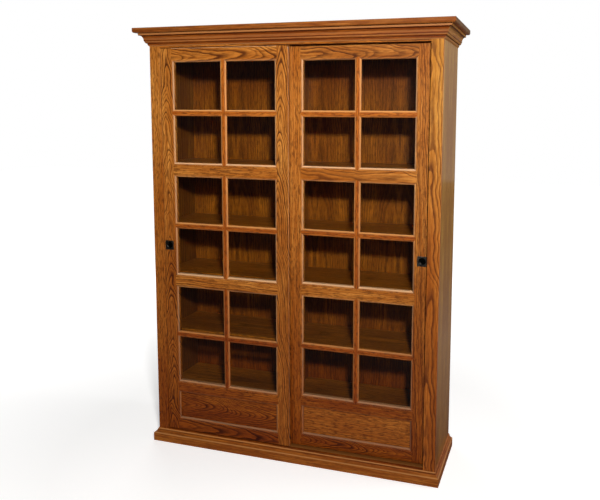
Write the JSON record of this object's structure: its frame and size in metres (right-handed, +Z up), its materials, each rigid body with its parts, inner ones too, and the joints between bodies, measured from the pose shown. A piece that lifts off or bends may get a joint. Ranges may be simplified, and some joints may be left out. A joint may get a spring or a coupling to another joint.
{
  "type": "bookcase with sliding doors",
  "caption": "Tall oak bookcase with adjustable shelves, crown and base mouldings, and glazed panel doors that slide past each other on a track.",
  "frame": {"origin": "on the floor under the middle of the outline, seen from above", "axes": "+X to the right seen from the front, +Y to the back, +Z up"},
  "size_m": [1.592, 0.462, 2.134],
  "materials": {
    "golden_oak": "golden stain under satin lacquer, open grain",
    "inside_oak": "stained oak veneer, satin",
    "clear_glass": "clear, polished",
    "dark_pewter": "dark antique finish",
    "brown_vinyl": "extruded, oak brown",
    "nylon": "moulded"
  },
  "bodies": {
    "case": {"side_panel_left": "golden_oak", "side_panel_right": "golden_oak", "partition": "inside_oak", "back_panel": "inside_oak", "case_top": "inside_oak", "case_bottom": "inside_oak", "face_stile_left": "golden_oak", "face_stile_right": "golden_oak", "face_header": "golden_oak", "face_sill": "golden_oak", "top_board": "golden_oak", "crown_moulding": "golden_oak", "base_moulding": "golden_oak", "lower_track": "brown_vinyl", "shelf_left_1": "inside_oak", "shelf_left_2": "inside_oak", "shelf_left_3": "inside_oak", "shelf_left_4": "inside_oak", "shelf_left_5": "inside_oak", "shelf_left_6": "inside_oak", "shelf_right_1": "inside_oak", "shelf_right_2": "inside_oak", "shelf_right_3": "inside_oak", "shelf_right_4": "inside_oak", "shelf_right_5": "inside_oak", "shelf_right_6": "inside_oak"},
    "door_left": {"door_left_stile_left": "golden_oak", "door_left_stile_right": "golden_oak", "door_left_rail_top": "golden_oak", "door_left_rail_upper": "golden_oak", "door_left_rail_lower": "golden_oak", "door_left_rail_panel": "golden_oak", "door_left_rail_bottom": "golden_oak", "door_left_panel": "golden_oak", "door_left_muntins_lower": "golden_oak", "door_left_glass_lower": "clear_glass", "door_left_muntins_middle": "golden_oak", "door_left_glass_middle": "clear_glass", "door_left_muntins_upper": "golden_oak", "door_left_glass_upper": "clear_glass", "door_left_pull": "dark_pewter"},
    "door_right": {"door_right_stile_left": "golden_oak", "door_right_stile_right": "golden_oak", "door_right_rail_top": "golden_oak", "door_right_rail_upper": "golden_oak", "door_right_rail_lower": "golden_oak", "door_right_rail_panel": "golden_oak", "door_right_rail_bottom": "golden_oak", "door_right_panel": "golden_oak", "door_right_muntins_lower": "golden_oak", "door_right_glass_lower": "clear_glass", "door_right_muntins_middle": "golden_oak", "door_right_glass_middle": "clear_glass", "door_right_muntins_upper": "golden_oak", "door_right_glass_upper": "clear_glass", "door_right_pull": "dark_pewter"},
    "door_left_roller_1": {"door_left_roller_1": "nylon"},
    "door_left_roller_2": {"door_left_roller_2": "nylon"},
    "door_right_roller_1": {"door_right_roller_1": "nylon"},
    "door_right_roller_2": {"door_right_roller_2": "nylon"}
  },
  "joints": [
    {"name": "door_left_slide", "type": "slide", "parent": "case", "child": "door_left", "axis": [1, 0, 0], "range_m": [0, 0.6735]},
    {"name": "door_right_slide", "type": "slide", "parent": "case", "child": "door_right", "axis": [1, 0, 0], "range_m": [-0.6735, 0]},
    {"name": "door_left_roller_1_spin", "type": "hinge", "parent": "door_left", "child": "door_left_roller_1", "pos_m": [-0.563, -0.1565, 0.0822], "axis": [0, 1, 0], "continuous": true},
    {"name": "door_left_roller_2_spin", "type": "hinge", "parent": "door_left", "child": "door_left_roller_2", "pos_m": [-0.111, -0.1565, 0.0822], "axis": [0, 1, 0], "continuous": true},
    {"name": "door_right_roller_1_spin", "type": "hinge", "parent": "door_right", "child": "door_right_roller_1", "pos_m": [0.111, -0.1255, 0.0822], "axis": [0, 1, 0], "continuous": true},
    {"name": "door_right_roller_2_spin", "type": "hinge", "parent": "door_right", "child": "door_right_roller_2", "pos_m": [0.563, -0.1255, 0.0822], "axis": [0, 1, 0], "continuous": true}
  ],
  "couplings": [
    {"joint": "door_left_roller_1_spin", "follows": "door_left_slide", "rad_per_m": 95.238},
    {"joint": "door_left_roller_2_spin", "follows": "door_left_slide", "rad_per_m": 95.238},
    {"joint": "door_right_roller_1_spin", "follows": "door_right_slide", "rad_per_m": 95.238},
    {"joint": "door_right_roller_2_spin", "follows": "door_right_slide", "rad_per_m": 95.238}
  ]
}
